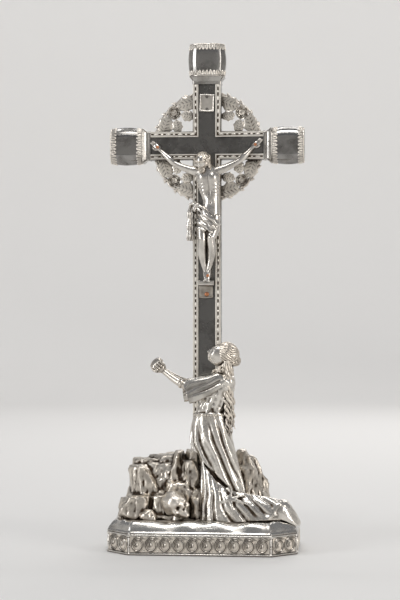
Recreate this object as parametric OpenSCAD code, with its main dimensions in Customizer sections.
// Standing altar cross: a silver-plated brass cross with swelling box terminals and an openwork
// nimbus, set on a rocky mound with a kneeling figure, over an eight-sided plinth.
// Millimetres. The front looks along -Y, +Z is up, and the origin is the middle of the underside.

/* [Plinth] */
// Width of the plinth over its mouldings
base_w = 188; // [170:1:196]
// Depth of the plinth over its mouldings
base_d = 116; // [100:1:124]
// How far each corner is cut back along both sides
corner_cut = 24; // [16:1:30]
// Height of the plinth band
band_h = 21; // [16:1:28]
// Sheet thickness of the plinth band
band_wall = 2; // [1.5:0.1:3]
// Height of the top and bottom mouldings
mould_h = 2.4; // [1.5:0.1:4]
// How far the mouldings stand out from the band
mould_out = 1.8; // [1:0.1:3]
// Target pitch of the scrolls in the frieze
scroll_pitch = 14; // [10:0.5:20]
// Thickness of the closing plate underneath
plate_t = 1.6; // [1:0.1:3]

/* [Mound] */
// Height of the ground casting above the plinth
ground_h = 12; // [8:1:20]
// How far the ground slopes in from the plinth edge
ground_slope = 9; // [5:1:14]
// Wall of the ground casting
ground_wall = 2.4; // [1.8:0.1:4]
// Height of the rock above the ground
rock_h = 66; // [50:1:80]
// Diameter of the rod that draws the cross down onto the mound
tie_d = 6; // [4:0.5:8]
// Clearance around fixings, on the radius
fix_gap = 0.2; // [0.1:0.05:0.4]

/* [Cross] */
// Overall height of the altar cross
total_h = 507; // [440:1:560]
// Span of the crossbar over its terminals
span = 197; // [180:1:220]
// Height of the crossing above the table
arm_z = 404; // [350:1:450]
// Width of the arms and the upright
arm_w = 28.5; // [22:0.5:34]
// Thickness of the box section
arm_t = 12; // [9:0.5:16]
// Sheet thickness of the box section
sheet = 1.2; // [0.8:0.1:2]
// Width of the beaded border strips
border_w = 5.7; // [4:0.1:8]
// How far the border strips stand above the panel
border_t = 1.5; // [1:0.1:2.5]
// Distance of the cross's middle plane behind the plinth's middle
cross_y = 27; // [20:0.5:34]

/* [Terminals] */
// Length of each terminal along its arm
term_l = 33.4; // [26:0.2:40]
// Width of each terminal across its arm
term_w = 40.4; // [34:0.2:46]
// Thickness of each terminal at its fullest
term_t = 25; // [20:0.5:27]
// Width of the flat on the front and back of each terminal
term_flat = 20; // [14:0.5:26]
// How far the terminal's faces bulge
term_bulge = 2.4; // [1:0.1:4]
// Length of the leaf bands at the ends of each terminal
leaf_band = 7.4; // [5:0.2:10]
// How far the leaf bands stand above the terminal
band_skin = 0.8; // [0.5:0.1:1.5]
// Length of the collar between an arm and its terminal
collar_l = 4.6; // [3:0.2:7]

/* [Nimbus] */
// Outer radius of the thorny rim
rim_r = 58; // [50:0.5:66]
// Width of the rim
rim_w = 4.6; // [3:0.1:7]
// Thickness of the openwork
rim_t = 3; // [2:0.1:5]
// Knots around the rim
knots = 24; // [16:4:32]
// Radius of the roses
rose_r = 7.2; // [5:0.1:9]
// Distance of the roses from the crossing
rose_at = 49; // [42:0.5:56]

/* [Titulus] */
// Width of the blank title plaque
title_w = 15.4; // [12:0.2:17]
// Height of the blank title plaque
title_h = 18.6; // [14:0.2:24]
// Height of the plaque's middle above the crossing
title_up = 43; // [36:0.5:55]
// Thickness of the plaque
title_t = 1.2; // [0.8:0.1:2]

/* [Corpus] */
// Height of the corpus from the soles to the crown
corpus_h = 131; // [110:1:150]
// Height of the crown of the head below the crossing
crown_drop = 6; // [0:1:12]
// Width of the footrest
rest_w = 16; // [12:0.2:17]
// Height of the footrest block
rest_h = 5; // [4:0.2:8]
// Depth of the footrest block in front of the panel
rest_d = 13; // [9:0.5:16]
// Diameter of the copper rivet below the footrest
rivet_d = 4.6; // [3:0.1:6]

/* [Kneeling figure] */
// Height of the kneeling figure above the ground
figure_h = 174; // [150:1:190]
// Distance of the figure in front of the plinth's middle
figure_y = -16; // [-22:1:-12]
// Radius of the clasped hands
fist_r = 8; // [6:0.5:10]

/* [Hidden] */
silver = "#b9b4aa";
dark_silver = "#8d877c";
copper = "#b5714a";
steel = "#8b8f94";

ground_z = band_h + ground_h;
rock_z = ground_z + rock_h;
panel_y = cross_y - arm_t / 2;
back_y = cross_y + arm_t / 2;
border_y = panel_y - border_t;
half_w = arm_w / 2;
side_l = span / 2 - term_l - collar_l;
top_l = total_h - arm_z - term_l - collar_l;
rib_r = mould_out * 0.9;
band_cut = corner_cut - mould_out * (2 - sqrt(2));
rib_room = 2 * rib_r + 0.2;
front_l = base_w - 2 * mould_out - 2 * band_cut - rib_room;
side_face_l = base_d - 2 * mould_out - 2 * band_cut - rib_room;
cut_face_l = band_cut * sqrt(2) - rib_room;
frieze_h = band_h - 2 * mould_h;
relief = 1;
strip_t = mould_out - relief;
screw_d = 3;
lug_r = 5;
lug_h = 9;
lug_x = base_w / 2 - corner_cut - lug_r - 3;
lug_y = base_d / 2 - 14;
nut_af = tie_d * 1.7;
nut_h = tie_d * 0.8;
washer_t = 1.4;
washer_r = tie_d * 1.3;
foot_block_h = 18;
tie_depth = 14;
nimbus_screw_d = 2.4;
pin_d = 1.6;

// ---- shared shapes -------------------------------------------------------------------------

// Rectangle w by d with its four corners cut by c, in plan.
module octagon(w, d, c) {
    polygon([
        [c - w / 2, -d / 2], [w / 2 - c, -d / 2], [w / 2, c - d / 2], [w / 2, d / 2 - c],
        [w / 2 - c, d / 2], [c - w / 2, d / 2], [-w / 2, d / 2 - c], [-w / 2, c - d / 2]
    ]);
}

// The plinth's outline, drawn in from the mouldings by a given amount on every side.
module plinth_outline(inset) {
    octagon(base_w - 2 * inset, base_d - 2 * inset, corner_cut - inset * (2 - sqrt(2)));
}

// Rounded limb through points given as [x, y, z, radius].
module limb(points) {
    for (i = [0:len(points) - 2]) {
        hull() {
            ball(points[i]);
            ball(points[i + 1]);
        }
    }
}

module ball(p) {
    translate([p[0], p[1], p[2]]) sphere(r = p[3], $fn = 14);
}

// Body through level ovals given as [x, y, z, half width, half depth].
module robe(ovals) {
    for (i = [0:len(ovals) - 2]) {
        hull() {
            oval(ovals[i]);
            oval(ovals[i + 1]);
        }
    }
}

module oval(s) {
    translate([s[0], s[1], s[2] - 0.4]) scale([s[3], s[4], 1]) cylinder(r = 1, h = 0.8, $fn = 22);
}

// Rod along +Y from a point on its axis.
module rod_y(x, y, z, r, l) {
    translate([x, y, z]) rotate([-90, 0, 0]) cylinder(r = r, h = l, $fn = 40);
}

// Puts a shape drawn on the XZ plane upright, with its thickness running from y to y + t.
module upright(y, t) {
    translate([0, y + t, 0]) rotate([90, 0, 0]) linear_extrude(t) children();
}

// ---- plinth --------------------------------------------------------------------------------

module plinth_band() {
    color(silver) difference() {
        union() {
            linear_extrude(band_h) plinth_outline(mould_out);
            linear_extrude(mould_h) plinth_outline(0);
            translate([0, 0, band_h - mould_h]) linear_extrude(mould_h) plinth_outline(0);
        }
        translate([0, 0, -1]) linear_extrude(band_h + 2) plinth_outline(mould_out + band_wall);
    }
}

// One post on each of the plinth's eight corners, between the mouldings.
module plinth_ribs() {
    w = base_w / 2 - mould_out;
    d = base_d / 2 - mould_out;
    c = band_cut;
    color(silver) difference() {
        for (sx = [-1, 1], sy = [-1, 1], p = [[w - c, d], [w, d - c]]) {
            translate([sx * p[0], sy * p[1], mould_h]) cylinder(r = rib_r, h = frieze_h, $fn = 32);
        }
        translate([0, 0, -1]) linear_extrude(band_h + 2) plinth_outline(mould_out);
    }
}

// Stamped strip of running scrolls, lying on the XZ plane with its back at y = 0.
module frieze(length) {
    n = max(1, round(length / scroll_pitch));
    pitch = length / n;
    ring_r = min(pitch, frieze_h) / 2 - 0.9;
    upright(-strip_t, strip_t) translate([-length / 2, 0]) square([length, frieze_h]);
    for (i = [0:n - 1]) {
        translate([(i + 0.5) * pitch - length / 2, -strip_t, frieze_h / 2]) rotate([90, 0, 0]) {
            difference() {
                cylinder(r = ring_r, h = relief, $fn = 40);
                translate([0, 0, -1]) cylinder(r = ring_r - 1.6, h = relief + 2, $fn = 40);
            }
            cylinder(r = ring_r * 0.35, h = relief, $fn = 40);
        }
    }
}

module frieze_front() {
    color(silver) translate([0, mould_out - base_d / 2, mould_h]) frieze(front_l);
}

module frieze_back() {
    color(silver) rotate([0, 0, 180]) translate([0, mould_out - base_d / 2, mould_h]) frieze(front_l);
}

module frieze_left() {
    color(silver) rotate([0, 0, -90]) translate([0, mould_out - base_w / 2, mould_h]) frieze(side_face_l);
}

module frieze_right() {
    color(silver) rotate([0, 0, 90]) translate([0, mould_out - base_w / 2, mould_h]) frieze(side_face_l);
}

module frieze_corners() {
    in = corner_cut / 2 + mould_out / sqrt(2);
    color(silver) for (sx = [-1, 1], sy = [-1, 1]) {
        translate([sx * (base_w / 2 - in), sy * (base_d / 2 - in), mould_h])
            rotate([0, 0, sx * sy > 0 ? (sx > 0 ? 135 : -45) : (sx > 0 ? 45 : -135)])
            frieze(cut_face_l);
    }
}

// Tapped lugs inside the band that take the closing plate's screws.
module base_lugs() {
    color(dark_silver) for (sx = [-1, 1], sy = [-1, 1]) {
        difference() {
            union() {
                translate([sx * lug_x, sy * lug_y, plate_t]) cylinder(r = lug_r, h = lug_h, $fn = 40);
                translate([sx * lug_x - lug_r, sy > 0 ? lug_y : mould_out + band_wall - base_d / 2, plate_t])
                    cube([2 * lug_r, base_d / 2 - mould_out - band_wall - lug_y, lug_h]);
            }
            translate([sx * lug_x, sy * lug_y, 0]) cylinder(r = screw_d / 2, h = 30, $fn = 40);
        }
    }
}

module base_plate() {
    color(dark_silver) difference() {
        linear_extrude(plate_t) plinth_outline(mould_out + band_wall + fix_gap);
        for (sx = [-1, 1], sy = [-1, 1]) {
            translate([sx * lug_x, sy * lug_y, -1]) cylinder(r = screw_d / 2 + fix_gap, h = 9, $fn = 40);
            translate([sx * lug_x, sy * lug_y, -0.01]) cylinder(r = screw_d + fix_gap, h = 0.81, $fn = 40);
        }
    }
}

module base_plate_screws() {
    color(steel) for (sx = [-1, 1], sy = [-1, 1]) {
        translate([sx * lug_x, sy * lug_y, 0]) {
            cylinder(r = screw_d / 2, h = 8, $fn = 40);
            cylinder(r = screw_d, h = 0.8, $fn = 40);
        }
    }
}

// ---- mound ---------------------------------------------------------------------------------

// Outside of the ground: it rises steeply from the plinth, then rounds over to a level top.
module ground_outside() {
    hull() {
        translate([0, 0, band_h]) linear_extrude(1) plinth_outline(0.6);
        translate([0, 0, band_h + ground_h * 0.55]) linear_extrude(1) plinth_outline(ground_slope * 0.4);
        translate([0, 0, ground_z - 1]) linear_extrude(1) plinth_outline(ground_slope);
    }
}

// Hollow cap cast as bare ground.
module ground() {
    seat = mould_out + band_wall;
    color(silver) difference() {
        ground_outside();
        hull() {
            translate([0, 0, band_h - 1]) linear_extrude(1) plinth_outline(seat);
            translate([0, 0, ground_z - ground_wall - 1])
                linear_extrude(1) plinth_outline(ground_slope + ground_wall);
        }
        translate([0, cross_y, 0]) cylinder(r = tie_d / 2 + fix_gap, h = rock_z, $fn = 40);
        for (p = figure_fix) {
            translate([p[0], p[1], 0]) cylinder(r = screw_d / 2 + fix_gap, h = rock_z, $fn = 40);
        }
    }
}

// Block of rock between an outline on the ground and a smaller outline at its top.
module block(foot, top, z) {
    hull() {
        translate([0, 0, ground_z]) linear_extrude(1) polygon(foot);
        translate([0, 0, z - 1]) linear_extrude(1) polygon(top);
    }
}

module rocks() {
    b = cross_y;
    color(silver) difference() {
        union() {
            block([[-82, b - 58], [-58, b - 62], [-38, b - 46], [-38, b + 6], [-80, b + 8]],
                [[-78, b - 44], [-56, b - 44], [-44, b - 40], [-42, b], [-74, b]], ground_z + 22);
            block([[-78, b - 44], [-42, b - 46], [-36, b + 14], [-74, b + 12]],
                [[-72, b - 34], [-47, b - 36], [-44, b + 2], [-64, b + 4]], rock_z - 18);
            block([[-44, b - 40], [-16, b - 38], [-12, b + 16], [-42, b + 16]],
                [[-38, b - 30], [-20, b - 30], [-16, b + 8], [-32, b + 8]], rock_z - 5);
            block([[-26, b - 22], [30, b - 22], [32, b + 20], [-24, b + 20]],
                [[-half_w - 5, b - 14], [half_w + 5, b - 14], [half_w + 5, b + 12], [-half_w - 5, b + 12]],
                rock_z);
            block([[24, b - 22], [66, b - 20], [62, b + 16], [26, b + 18]],
                [[28, b - 14], [42, b - 14], [49, b - 6], [44, b + 8], [28, b + 8]], rock_z - 4);
            block([[48, b - 20], [74, b - 16], [72, b + 12], [50, b + 12]],
                [[50, b - 12], [60, b - 12], [60, b + 4], [50, b + 4]], ground_z + 24);
        }
        hull() {
            translate([0, 0, ground_z - 1]) linear_extrude(1)
                polygon([[-72, b - 38], [-30, b - 34], [56, b - 16], [56, b + 10], [-68, b + 6]]);
            translate([0, 0, rock_z - 13]) linear_extrude(1)
                polygon([[-34, b - 24], [28, b - 10], [38, b], [28, b + 4], [-30, b + 4]]);
        }
        translate([0, b, 0]) cylinder(r = tie_d / 2 + fix_gap, h = rock_z + 9, $fn = 40);
    }
}

// Skull lying on the ground in the niche to the left.
module skull() {
    x = -25;
    y = cross_y - 60;
    color(silver) intersection() {
        union() {
            limb([[x - 3, y, ground_z + 13, 11.4], [x + 3, y - 1, ground_z + 13, 11]]);
            limb([[x + 7, y - 3, ground_z + 8, 7], [x + 9, y - 4, ground_z + 5, 5]]);
        }
        translate([x - 40, y - 40, ground_z]) cube(80);
    }
}

// ---- fixing of the cross -------------------------------------------------------------------

washer_z = ground_z - ground_wall - washer_t;

module tie_rod() {
    z0 = washer_z - nut_h - 2;
    z1 = rock_z + sheet + tie_depth;
    color(steel) translate([0, cross_y, z0]) cylinder(r = tie_d / 2, h = z1 - z0, $fn = 40);
}

module tie_washer() {
    color(steel) translate([0, cross_y, washer_z]) difference() {
        cylinder(r = washer_r, h = washer_t, $fn = 40);
        translate([0, 0, -1]) cylinder(r = tie_d / 2 + fix_gap, h = 9, $fn = 40);
    }
}

module tie_nut() {
    color(steel) translate([0, cross_y, washer_z - nut_h]) difference() {
        cylinder(d = nut_af / cos(30), h = nut_h, $fn = 6);
        translate([0, 0, -1]) cylinder(r = tie_d / 2, h = 99, $fn = 40);
    }
}

// Tapped block soldered inside the foot of the upright.
module foot_block() {
    color(dark_silver) difference() {
        translate([sheet - half_w, panel_y + sheet, rock_z])
            cube([arm_w - 2 * sheet, arm_t - 2 * sheet, foot_block_h]);
        translate([0, cross_y, 0]) cylinder(r = tie_d / 2, h = rock_z + sheet + tie_depth, $fn = 40);
    }
}

// ---- cross ---------------------------------------------------------------------------------

// Outline of the cross between its foot and its collars, drawn in by a given amount.
module cross_outline(inset) {
    translate([inset - half_w, rock_z]) square([arm_w - 2 * inset, arm_z + top_l - rock_z]);
    translate([-side_l, arm_z - half_w + inset]) square([2 * side_l, arm_w - 2 * inset]);
}

module cross_front() {
    color(dark_silver) difference() {
        upright(panel_y, sheet) cross_outline(0);
        for (s = [-1, 1]) {
            rod_y(s * nail_x, panel_y - 5, nail_z(s), pin_d / 2, 20);
        }
        for (z = title_pin_z) {
            rod_y(0, panel_y - 5, z, pin_d / 2, 20);
        }
        rod_y(0, panel_y - 5, rivet_z, rivet_d / 4 + fix_gap, 20);
        for (z = corpus_fix_z) {
            rod_y(corpus_x, panel_y - 5, z, screw_d / 2 + fix_gap, 20);
        }
    }
}

module cross_sides() {
    color(silver) upright(panel_y + sheet, arm_t - 2 * sheet) difference() {
        cross_outline(0);
        cross_outline(sheet);
    }
}

module cross_back() {
    color(silver) difference() {
        upright(back_y - sheet, sheet) cross_outline(0);
        for (a = [0:90:270]) {
            rod_y(cos(a) * rim_mid, back_y - 5, arm_z + sin(a) * rim_mid, nimbus_screw_d / 2, 9);
        }
        for (z = corpus_fix_z) {
            rod_y(corpus_x, back_y - 5, z, screw_d / 2 + fix_gap, 20);
        }
    }
}

// L-shaped beaded border in one of the four angles: sx and sz give the quadrant.
module border(sx, sz) {
    reach = sz > 0 ? top_l : arm_z - rock_z;
    inner = half_w - border_w;
    color(silver) difference() {
        upright(border_y, border_t) {
            translate([sx > 0 ? inner : -half_w, sz > 0 ? arm_z + inner : arm_z - reach])
                square([border_w, reach - inner]);
            translate([sx > 0 ? inner : -side_l, sz > 0 ? arm_z + inner : arm_z - half_w])
                square([side_l - inner, border_w]);
        }
        if (sz < 0) {
            rod_y(sx * nail_x, border_y - 5, nail_z(sx), pin_d / 2 + fix_gap, 20);
        }
    }
}

module border_upper_left() border(-1, 1);
module border_upper_right() border(1, 1);
module border_lower_left() border(-1, -1);
module border_lower_right() border(1, -1);

// ---- terminals -----------------------------------------------------------------------------

// Places a piece drawn along +Z from 0 at the end of the top, left or right arm.
module at_arm(which) {
    if (which == 0) {
        translate([0, cross_y, arm_z + top_l]) children();
    } else {
        translate([which * side_l, cross_y, arm_z]) rotate([0, which * 90, 0]) children();
    }
}

// Stepped moulding that closes the arm and widens to the terminal.
module collar() {
    color(silver) {
        translate([-half_w, -arm_t / 2 - border_t, 0]) cube([arm_w, arm_t + border_t + 1, collar_l * 0.45]);
        translate([-half_w - 1.6, -arm_t / 2 - border_t - 1, collar_l * 0.45])
            cube([arm_w + 3.2, arm_t + border_t + 2.6, collar_l * 0.55]);
    }
}

module collar_top() at_arm(0) collar();
module collar_left() at_arm(-1) collar();
module collar_right() at_arm(1) collar();

// Bar of a given width whose two long sides swell outwards, drawn from z = 0 to term_l.
module barrel(width, depth) {
    sag = term_bulge;
    r = (term_l * term_l / 4 + sag * sag) / (2 * sag);
    translate([0, depth / 2, term_l / 2]) rotate([90, 0, 0]) linear_extrude(depth) intersection() {
        square([width, term_l], center = true);
        translate([width / 2 - r, 0]) circle(r = r, $fn = 120);
        translate([r - width / 2, 0]) circle(r = r, $fn = 120);
    }
}

// Twelve-sided section: a flat at the front and back, a narrow facet, a broad one and a side.
module terminal_section(w, d) {
    flat = term_flat / 2;
    shoulder = flat + (w / 2 - flat) * 0.53;
    half = [[flat, -d / 2], [shoulder, -d * 0.4], [w / 2, -d * 0.14]];
    right = concat(half, [for (i = [2:-1:0]) [half[i][0], -half[i][1]]]);
    polygon(concat(right, [for (i = [5:-1:0]) [-right[i][0], right[i][1]]]));
}

module terminal_solid(grow) {
    intersection() {
        barrel(term_w + grow, 3 * term_t);
        rotate([0, 0, 90]) barrel(term_t + grow, 3 * term_w);
        linear_extrude(term_l) terminal_section(term_w + grow, term_t + grow);
    }
}

module terminal() {
    color(silver) translate([0, 0, collar_l]) terminal_solid(-2 * band_skin);
}

// The two stamped leaf-tip bands that wrap the ends of a terminal.
module leaf_bands() {
    color(silver) translate([0, 0, collar_l]) difference() {
        terminal_solid(0);
        terminal_solid(-2 * band_skin);
        translate([-term_w, -term_w, leaf_band]) cube([2 * term_w, 2 * term_w, term_l - 2 * leaf_band]);
    }
}

module terminal_top() at_arm(0) terminal();
module terminal_left() at_arm(-1) terminal();
module terminal_right() at_arm(1) terminal();
module leaf_bands_top() at_arm(0) leaf_bands();
module leaf_bands_left() at_arm(-1) leaf_bands();
module leaf_bands_right() at_arm(1) leaf_bands();

// ---- nimbus --------------------------------------------------------------------------------

rim_mid = rim_r - rim_w / 2 - 0.8;

// Thorny branch bent into a ring: a low point at every other corner of the outer edge.
module nimbus_rim() {
    color(silver) difference() {
        translate([0, 0, arm_z]) upright(back_y, rim_t) difference() {
            polygon([for (i = [0:2 * knots - 1])
                (i % 2 == 0 ? rim_r : rim_r - 2) * [cos((i + 1) * 180 / knots), sin((i + 1) * 180 / knots)]]);
            circle(r = rim_r - rim_w - 0.8, $fn = 120);
        }
        for (a = [0:90:270]) {
            rod_y(cos(a) * rim_mid, back_y - 5, arm_z + sin(a) * rim_mid, nimbus_screw_d / 2 + fix_gap, 20);
        }
    }
}

// Pointed leaf of a given length and width, centred, lying along X.
module leaf(l, w) {
    r = (l * l / 4 + w * w / 4) / w;
    intersection() {
        translate([0, r - w / 2]) circle(r = r, $fn = 60);
        translate([0, w / 2 - r]) circle(r = r, $fn = 60);
    }
}

// The two leaves between a rose and one arm, with the stalks that carry them.
module leaf_pair() {
    d = rose_at / sqrt(2);
    reach = d - half_w + 1.6;
    difference() {
        union() {
            translate([half_w + reach / 2 - 3, d + 9]) rotate(-36) leaf(reach + 3, 12.5);
            translate([half_w + reach / 2 - 4, d - 3.4]) rotate(6) leaf(reach - 1, 9.5);
        }
        translate([d, d]) circle(r = rose_r, $fn = 60);
    }
}

module nimbus_leaves() {
    leaf_t = rim_t * 0.6;
    color(silver) intersection() {
        union() {
            for (sx = [-1, 1], sz = [-1, 1]) {
                translate([0, 0, arm_z]) upright(back_y, leaf_t) scale([sx, sz]) {
                    leaf_pair();
                    mirror([1, -1]) leaf_pair();
                }
            }
        }
        rod_y(0, back_y - 5, arm_z, rim_r - rim_w - 0.85, 20);
    }
}

module nimbus_roses() {
    d = rose_at / sqrt(2);
    color(silver) intersection() {
        union() {
            for (sx = [-1, 1], sz = [-1, 1]) {
                rod_y(sx * d, back_y - 1, arm_z + sz * d, rose_r, rim_t + 1);
                rod_y(sx * d, back_y - 2.2, arm_z + sz * d, rose_r * 0.66, rim_t);
                rod_y(sx * d, back_y - 3.2, arm_z + sz * d, rose_r * 0.33, rim_t);
            }
        }
        rod_y(0, back_y - 9, arm_z, rim_r - rim_w - 0.85, 40);
    }
}

module nimbus_screws() {
    color(steel) for (a = [0:90:270]) {
        x = cos(a) * rim_mid;
        z = arm_z + sin(a) * rim_mid;
        rod_y(x, back_y - 4, z, nimbus_screw_d / 2, rim_t + 4);
        rod_y(x, back_y + rim_t, z, nimbus_screw_d * 0.9, 1.4);
    }
}

// ---- title plaque --------------------------------------------------------------------------

title_z = arm_z + title_up;
title_pin_z = [title_z - title_h / 3, title_z + title_h / 3];

module title_plaque() {
    color(silver) difference() {
        upright(panel_y - title_t, title_t)
            translate([-title_w / 2, title_z - title_h / 2]) square([title_w, title_h]);
        for (z = title_pin_z) {
            rod_y(0, panel_y - 9, z, pin_d / 2, 20);
        }
    }
}

module title_frame() {
    y = panel_y - title_t - 1;
    color(silver) upright(y, 1) difference() {
        translate([-title_w / 2, title_z - title_h / 2]) square([title_w, title_h]);
        translate([2 - title_w / 2, title_z - title_h / 2 + 2]) square([title_w - 4, title_h - 4]);
    }
}

module title_pins() {
    color(dark_silver) for (z = title_pin_z) {
        rod_y(0, panel_y - title_t, z, pin_d / 2, title_t + sheet + 0.8);
        rod_y(0, panel_y - title_t - 0.6, z, pin_d * 0.8, 0.6);
    }
}

// ---- corpus --------------------------------------------------------------------------------

k = corpus_h / 131;
crown_z = arm_z - crown_drop;
corpus_x = 3;
corpus_fix_z = [crown_z - 32 * k, crown_z - 62 * k];
nail_x = 49.5 * k;
rest_z = crown_z - corpus_h;
recess_w = arm_w - 2 * (border_w + fix_gap);
rivet_z = rest_z - rest_h - 8.6;

function nail_z(side) = crown_z + (side > 0 ? 6 : 4) * k;

// Point of the body: x, distance in front of the panel, depth below the crown, radius.
function body(x, out, down, r) = [x * k, panel_y - out * k, crown_z - down * k, r * k];

module corpus() {
    color(silver) difference() {
        intersection() {
            union() {
                limb([body(-2, 15, 10, 9), body(-3, 19, 15, 9), body(-1, 19, 22, 6.6)]);
                limb([body(2, 11, 26, 6), body(-10, 8.5, 25, 4.6), body(-31, 8, 13.5, 3.2),
                    body(-50, 3.4, -4, 2.8), body(-55, 2.6, -8, 2)]);
                limb([body(2, 11, 26, 6), body(13, 8.5, 23, 4.6), body(34, 8, 9.5, 3.2),
                    body(49.5, 3.4, -6, 2.8), body(54.5, 2.6, -11, 2)]);
                limb([body(-3, 8, 31, 8.5), body(9, 8, 31, 8.5), body(6, 7, 54, 7), body(3, 8, 66, 9)]);
                limb([body(-2, 7.5, 66, 8), body(9, 7.5, 66, 8), body(6, 8, 78, 8), body(-2, 8, 78, 8)]);
                limb([body(-2, 8, 74, 8.4), body(-4, 13, 90, 6.6), body(0, 9, 121, 3.6),
                    body(0, 12, 128, 3)]);
                limb([body(7, 8, 74, 8), body(6, 13, 90, 5.6), body(3, 8, 121, 3.6), body(5, 12, 128, 3)]);
                limb([body(-13, 8, 55, 3.4), body(-16, 8, 72, 3.6), body(-15.5, 8, 89, 3.2)]);
                limb([body(-13, 8, 55, 3.4), body(-5, 8, 58, 5)]);
            }
            translate([-span, panel_y - 60, rest_z]) cube([2 * span, 60, 300]);
        }
        for (s = [-1, 1]) {
            rod_y(s * nail_x, panel_y - 30, nail_z(s), pin_d / 2, 40);
            translate([s > 0 ? recess_w / 2 : -span, border_y - fix_gap, rest_z - 50])
                cube([span - recess_w / 2, 20, arm_z - recess_w / 2 - rest_z + 50]);
        }
    }
}

module corpus_screws() {
    color(steel) for (z = corpus_fix_z) {
        rod_y(corpus_x, panel_y, z, screw_d / 2, arm_t + 0.01);
        rod_y(corpus_x, back_y, z, screw_d, 1.8);
    }
}

module hand_nails() {
    color(copper) for (s = [-1, 1]) {
        rod_y(s * nail_x, panel_y - 7 * k, nail_z(s), pin_d / 2, 7 * k + 4);
        rod_y(s * nail_x, panel_y - 7 * k - 0.8, nail_z(s), pin_d, 0.8);
    }
}

module foot_nail() {
    color(copper) rod_y(2.4, panel_y - 17 * k, rest_z + 5 * k, pin_d, 1.6);
}

module footrest() {
    color(silver) translate([-rest_w / 2, panel_y - rest_d, rest_z - rest_h]) cube([rest_w, rest_d, rest_h]);
}

// Small plate under the footrest, held to the upright by the copper rivet.
module footrest_plate() {
    color(silver) difference() {
        translate([-rest_w / 2, panel_y - 1.4, rest_z - rest_h - 12.6]) cube([rest_w - 1.6, 1.4, 12.6]);
        rod_y(0, panel_y - 9, rivet_z, rivet_d / 4 + fix_gap, 20);
    }
}

module footrest_rivet() {
    color(copper) {
        rod_y(0, panel_y - 1.4, rivet_z, rivet_d / 4, 1.4 + sheet + 1);
        rod_y(0, panel_y - 2.4, rivet_z, rivet_d / 2, 1);
    }
}

// ---- kneeling figure -----------------------------------------------------------------------

f = figure_h / 174;
figure_fix = [[14, figure_y - 4], [52, figure_y + 2]];

// Point of the figure: x, distance towards the cross, height above the ground, radius.
function kneel(x, back, up, r) = [x * f, figure_y + back * f, ground_z + up * f, r * f];

// Oval of the figure: x, distance towards the cross, height, half width, half depth.
function fold(x, back, up, w, d) = [x * f, figure_y + back * f, ground_z + up * f, w * f, d * f];

module kneeling_figure() {
    color(silver) difference() {
        intersection() {
            union() {
                robe([fold(14, -1, 0.4, 18, 16), fold(13, -1, 18, 17, 16), fold(12, 0, 45, 19, 16),
                    fold(7, 2, 76, 20, 15), fold(7, 2, 101, 17, 12.5), fold(13, 2, 118, 17, 13),
                    fold(19, 2, 134, 14, 16), fold(21, 2, 142, 8, 9)]);
                limb([kneel(21, 2, 140, 7), kneel(20, 2, 152, 7), kneel(21, 2, 162, 11.6),
                    kneel(26, 3, 162, 11.6)]);
                limb([kneel(26, 4, 158, 9), kneel(28, 8, 140, 8), kneel(28, 8, 112, 7), kneel(26, 7, 84, 5)]);
                limb([kneel(21, -9, 134, 7), kneel(-8, -9, 134, 5)]);
                limb([kneel(-8, -9, 134, 5), kneel(0, -9, 116, 3.4)]);
                limb([kneel(0, -9, 116, 3.4), kneel(22, -9, 130, 6)]);
                limb([kneel(21, 12, 134, 7), kneel(-10, 12, 134, 5)]);
                limb([kneel(-10, 12, 134, 5), kneel(-20, 13, 116, 3.4)]);
                limb([kneel(-20, 13, 116, 3.4), kneel(20, 12, 128, 6)]);
                robe([fold(16, 0, 0.4, 17, 17), fold(34, 4, 20, 12, 14)]);
                hull() {
                    oval(fold(20, 0, 0.4, 20, 17));
                    oval(fold(60, 2, 0.4, 12, 18));
                    oval(fold(42, 2, 20, 10, 12));
                    oval(fold(64, 2, 12, 8, 10));
                }
                hull() {
                    oval(fold(64, 2, 11, 10, 13));
                    oval(fold(66, 0, 3, 12, 16));
                    oval(fold(80, -2, 13, 7, 12));
                    oval(fold(80, -4, 3, 5, 12));
                }
                hull() {
                    oval(fold(80, -2, 13, 6, 12));
                    oval(fold(80, -4, 6, 4, 12));
                    oval(fold(91, -8, 1, 4, 10));
                    oval(fold(92, -8, -2, 4, 9));
                }
            }
            translate([-base_w, -base_d, ground_z - 8]) cube([2 * base_w, 2 * base_d, 400]);
        }
        ground_outside();
        for (p = figure_fix) {
            translate([p[0], p[1], 0]) cylinder(r = screw_d / 2, h = ground_z + 8, $fn = 40);
        }
        forearms(fix_gap);
    }
}

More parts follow.
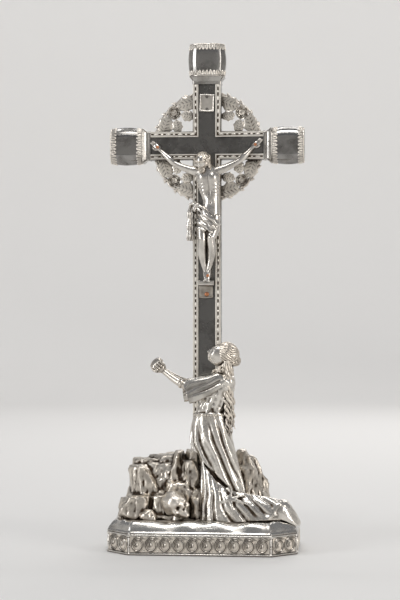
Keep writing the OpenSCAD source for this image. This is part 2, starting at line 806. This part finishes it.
// Both forearms and the clasped hands, thickened by a given amount all round.
module forearms(grow) {
    fist = kneel(-45, 1, 149, (fist_r - 1 + grow) / f);
    near_wrist = kneel(-38, -1, 144, 3.2 + grow);
    far_wrist = kneel(-38, 3, 144, 3.2 + grow);
    limb([kneel(-15, -7, 130, 4.4 + grow), kneel(-27, -4, 136, 3.9 + grow), near_wrist, fist]);
    limb([kneel(-17, 10, 130, 4.4 + grow), kneel(-28, 6, 136, 3.9 + grow), far_wrist, fist]);
    limb([fist, kneel(-44, 1, 151, (fist_r - 1 + grow) / f)]);
    limb([near_wrist, far_wrist]);
}

// Cast apart from the figure and let into its sleeves.
module figure_forearms() {
    color(silver) forearms(0);
}

// Oval outline of a given half width and half depth.
module oval_outline(w, d) {
    polygon([for (a = [0:9:351]) [w * cos(a), d * sin(a)]]);
}

// Girdle round the waist, open at the back where the hair hangs over it.
module figure_belt() {
    belt_t = 1.5;
    belt_h = 3.2;
    waist = fold(7, 2, 101, 17.5, 13);
    color(silver) difference() {
        translate([waist[0], waist[1], waist[2] - belt_h / 2]) linear_extrude(belt_h) difference() {
            oval_outline(waist[3] + belt_t, waist[4] + belt_t);
            oval_outline(waist[3], waist[4]);
        }
        translate([waist[0] + waist[3] * 0.62, waist[1] - 40, waist[2] - 9]) cube([40, 80, 18]);
    }
}

module figure_screws() {
    z = ground_z - ground_wall;
    color(steel) for (p = figure_fix) {
        translate([p[0], p[1], z - 1.8]) {
            cylinder(r = screw_d, h = 1.8, $fn = 40);
            cylinder(r = screw_d / 2, h = ground_wall + 1.8 + 7, $fn = 40);
        }
    }
}

plinth_band();
plinth_ribs();
frieze_front();
frieze_back();
frieze_left();
frieze_right();
frieze_corners();
base_lugs();
base_plate();
base_plate_screws();
ground();
rocks();
skull();
tie_rod();
tie_washer();
tie_nut();
foot_block();
cross_front();
cross_sides();
cross_back();
border_upper_left();
border_upper_right();
border_lower_left();
border_lower_right();
collar_top();
collar_left();
collar_right();
terminal_top();
terminal_left();
terminal_right();
leaf_bands_top();
leaf_bands_left();
leaf_bands_right();
nimbus_rim();
nimbus_leaves();
nimbus_roses();
nimbus_screws();
title_plaque();
title_frame();
title_pins();
corpus();
corpus_screws();
hand_nails();
foot_nail();
footrest();
footrest_plate();
footrest_rivet();
kneeling_figure();
figure_forearms();
figure_belt();
figure_screws();
